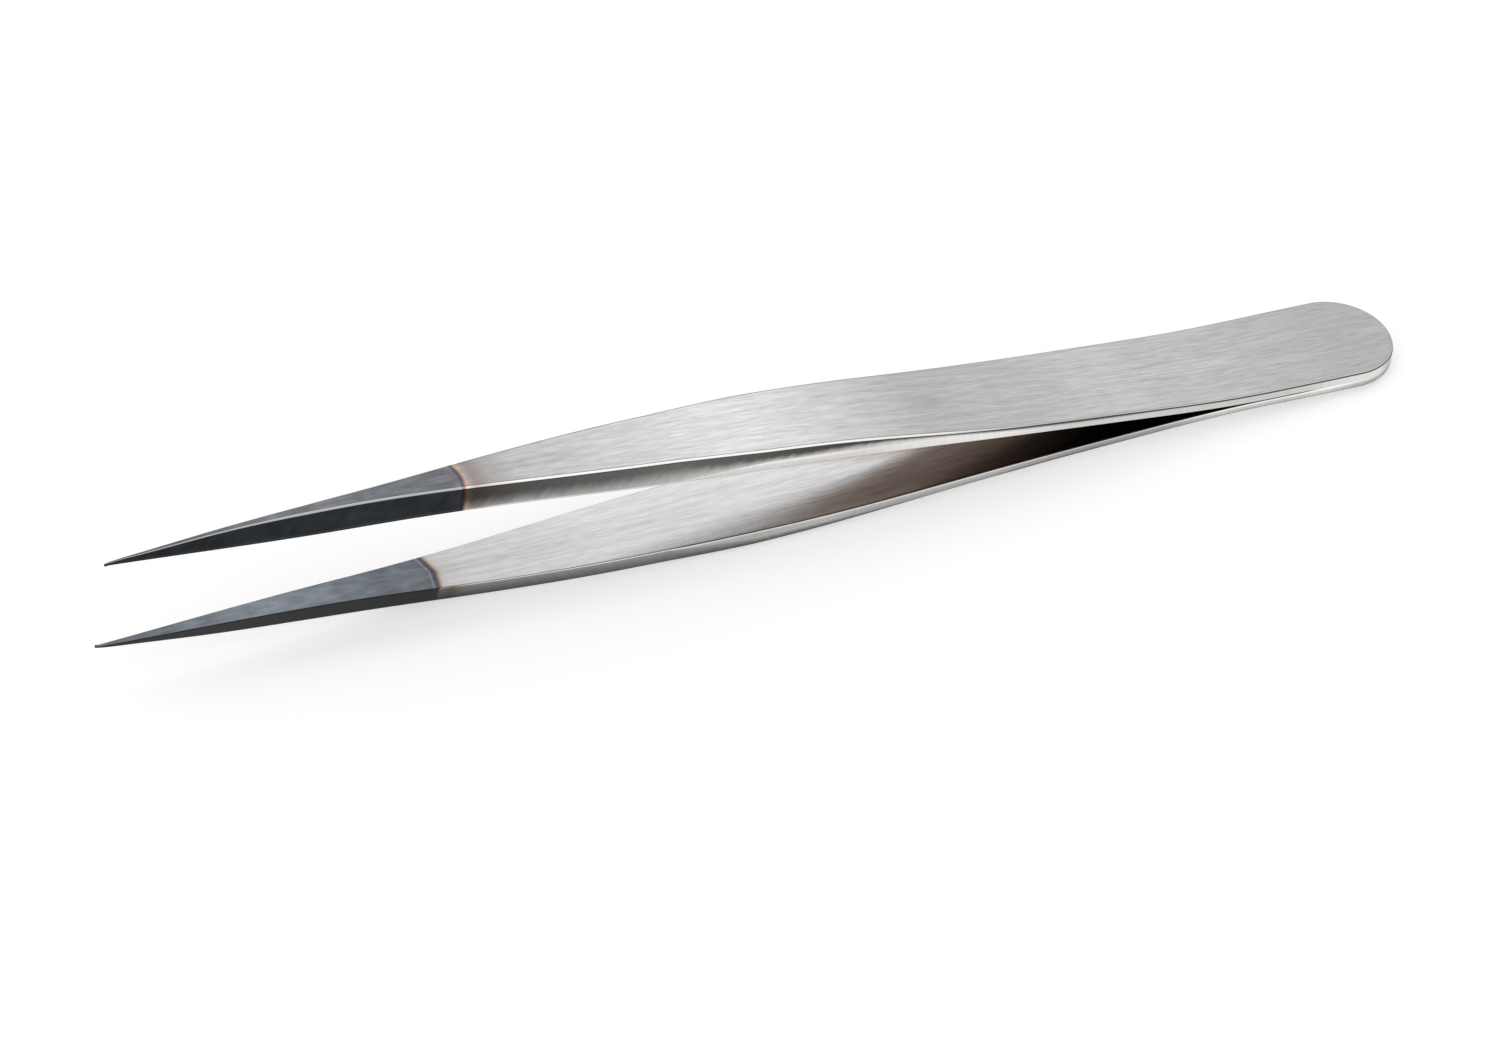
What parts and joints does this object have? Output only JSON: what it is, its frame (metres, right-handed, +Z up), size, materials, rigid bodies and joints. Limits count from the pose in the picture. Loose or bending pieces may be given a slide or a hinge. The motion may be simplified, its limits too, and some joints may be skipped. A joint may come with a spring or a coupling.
{
  "type": "diamond coated tweezers",
  "caption": "Fine straight tweezers: flat brushed steel leaves joined at a rounded heel, bowed apart and ground to needle tips with a dark diamond coating.",
  "frame": {"origin": "centre of the bounding box in plan, on the surface that the tweezers lie on", "axes": "+X from the tips to the heel, +Y across the leaves, +Z up; the tweezers lie on the belly and the heel of the lower leaf"},
  "size_m": [0.12, 0.01, 0.0139],
  "materials": {
    "arm_steel": "lengthwise brushed steel, with a dark diamond film over the front quarter of each leaf"
  },
  "bodies": {
    "lower_arm": {"lower_arm": "arm_steel"},
    "upper_arm": {"upper_arm": "arm_steel"}
  },
  "joints": [
    {"name": "pinch", "type": "hinge", "parent": "lower_arm", "child": "upper_arm", "pos_m": [0.04203, 0, 0.00204], "axis": [0, -1, 0], "range_deg": [0, 4.75], "stiffness_Nm_per_rad": 0.7, "springref_deg": -0.57}
  ]
}
